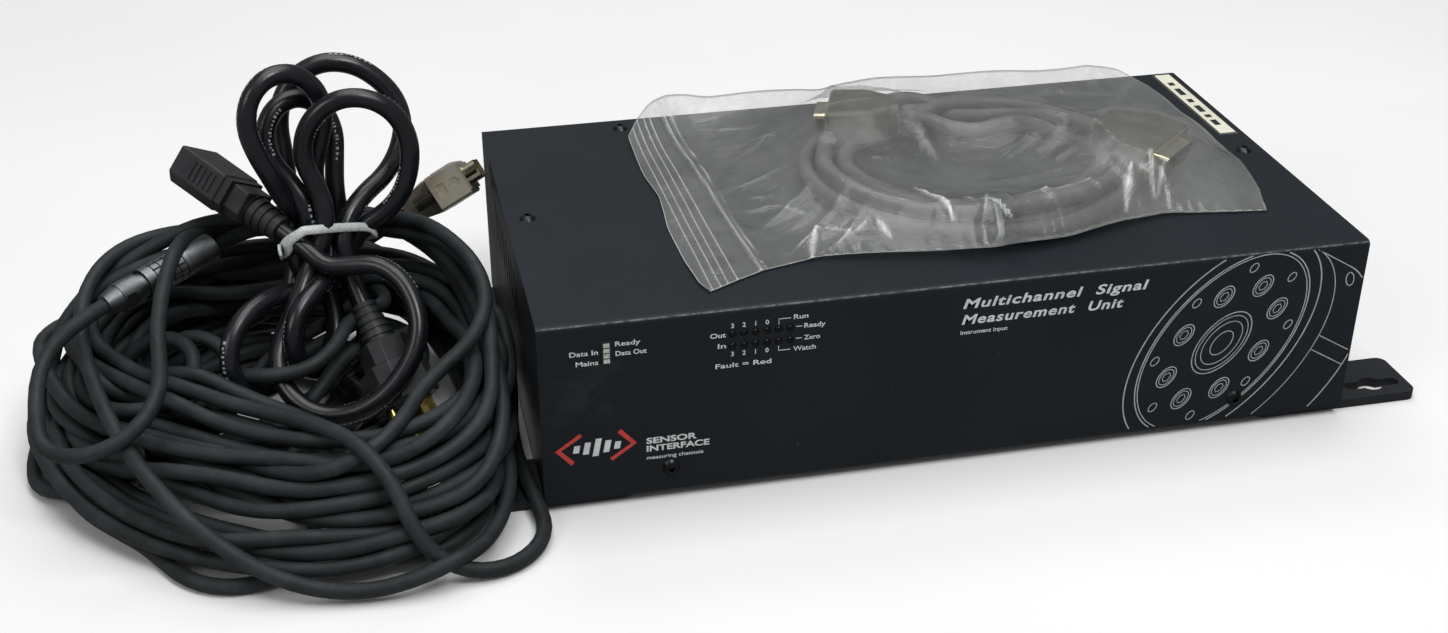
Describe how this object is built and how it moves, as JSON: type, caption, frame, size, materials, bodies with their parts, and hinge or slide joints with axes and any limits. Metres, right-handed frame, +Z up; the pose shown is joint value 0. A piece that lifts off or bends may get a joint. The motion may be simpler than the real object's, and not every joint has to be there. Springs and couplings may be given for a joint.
{
  "type": "sensor controller unit",
  "caption": "Flat black sheet-metal controller box on slotted foot plates, with front indicators, rear ports, and its leads lying beside it and in a clear bag on top.",
  "frame": {"origin": "bottom centre of the unit, on the surface it stands on, without its free leads", "axes": "+Z up, the indicator panel faces -Y, +X to the right seen from the front"},
  "size_m": [0.5688, 0.2312, 0.1614],
  "materials": {
    "cover_paint": "fine-textured powder coat",
    "chassis_paint": "fine-textured powder coat",
    "zinc_steel": "zinc plated",
    "black_screw": "black oxide",
    "foot_paint": "satin black",
    "led_lens": "dark tinted lens",
    "black_plastic": "moulded",
    "light_bar": "pale diffusing lens",
    "circuit_board": "solder mask",
    "transformer": "varnished",
    "heatsink": "plain",
    "nickel": "nickel plated",
    "fuse_glass": "clear",
    "rocker_plastic": "moulded",
    "sticker": "satin paper",
    "lead_coil": "matte jacket, coiled",
    "lead_jacket": "matte",
    "hood_metal": "plated die-cast",
    "dark_metal": "dark nickel",
    "round_metal": "dark anodised",
    "mains_coil": "glossy jacket, folded and tied",
    "mains_jacket": "semi-gloss",
    "mains_moulding": "moulded",
    "brass": "plain",
    "tie_strap": "translucent white",
    "bag_film": "clear film",
    "data_coil": "grey jacket, coiled"
  },
  "bodies": {
    "root": {"cover": "cover_paint", "chassis": "chassis_paint", "rear_panel": "chassis_paint", "corner_blocks": "zinc_steel", "screws_top": "black_screw", "screws_front": "black_screw", "screws_rear": "black_screw", "screws_feet": "black_screw", "foot_front_left": "foot_paint", "foot_front_right": "foot_paint", "foot_rear_left": "foot_paint", "foot_rear_right": "foot_paint", "led_lenses": "led_lens", "light_bar_bezel": "black_plastic", "light_bar_segments": "light_bar", "display_board": "circuit_board", "standoffs": "zinc_steel", "main_board": "circuit_board", "main_board_chips": "black_plastic", "psu_tray": "zinc_steel", "psu_transformer": "transformer", "psu_heatsink": "heatsink", "psu_capacitors": "black_plastic", "inlet_body": "black_plastic", "inlet_pins": "nickel", "port_transducer": "nickel", "port_serial": "nickel", "port_io": "nickel", "port_inserts": "black_plastic", "jackscrews": "zinc_steel", "sticker": "sticker", "lead_pile": "lead_coil", "lead_tail_hood": "lead_jacket", "lead_tail_round": "lead_jacket", "hood_upper": "hood_metal", "hood_lower": "hood_metal", "hood_shell": "nickel", "round_barrel": "round_metal", "round_body": "round_metal", "round_nut": "round_metal", "power_hank": "mains_coil", "power_tail_connector": "mains_jacket", "power_tail_plug": "mains_jacket", "appliance_connector": "mains_moulding", "plug_body": "mains_moulding", "plug_blades": "brass", "plug_ground_pin": "brass", "cord_tie": "tie_strap", "bag": "bag_film", "bag_coil": "data_coil", "bag_plug_a": "hood_metal", "bag_shell_a": "nickel", "bag_plug_b": "hood_metal", "bag_shell_b": "nickel"},
    "rocker": {"rocker": "rocker_plastic"},
    "fuse_drawer": {"fuse_drawer": "black_plastic", "fuse": "fuse_glass"},
    "thumb_1": {"thumbscrew_1": "dark_metal"},
    "thumb_2": {"thumbscrew_2": "dark_metal"},
    "sleeve": {"round_sleeve": "round_metal"}
  },
  "joints": [
    {"name": "rocker_tilt", "type": "hinge", "parent": "root", "child": "rocker", "pos_m": [0.1264, 0.08915, 0.0242], "axis": [1, 0, 0], "range_deg": [-18, 0]},
    {"name": "fuse_drawer_slide", "type": "slide", "parent": "root", "child": "fuse_drawer", "axis": [0, 1, 0], "range_m": [0, 0.02]},
    {"name": "thumb_1_spin", "type": "hinge", "parent": "root", "child": "thumb_1", "pos_m": [-0.19259, 0.03806, 0.07521], "axis": [0.8794, 0.0552, 0.4728], "continuous": true},
    {"name": "thumb_2_spin", "type": "hinge", "parent": "root", "child": "thumb_2", "pos_m": [-0.18739, 0.06819, 0.06203], "axis": [0.8794, 0.0552, 0.4728], "continuous": true},
    {"name": "sleeve_slide", "type": "slide", "parent": "root", "child": "sleeve", "axis": [-0.7726, -0.6281, -0.0923], "range_m": [0, 0.0025], "stiffness_N_per_m": 150, "springref_m": -0.003}
  ]
}
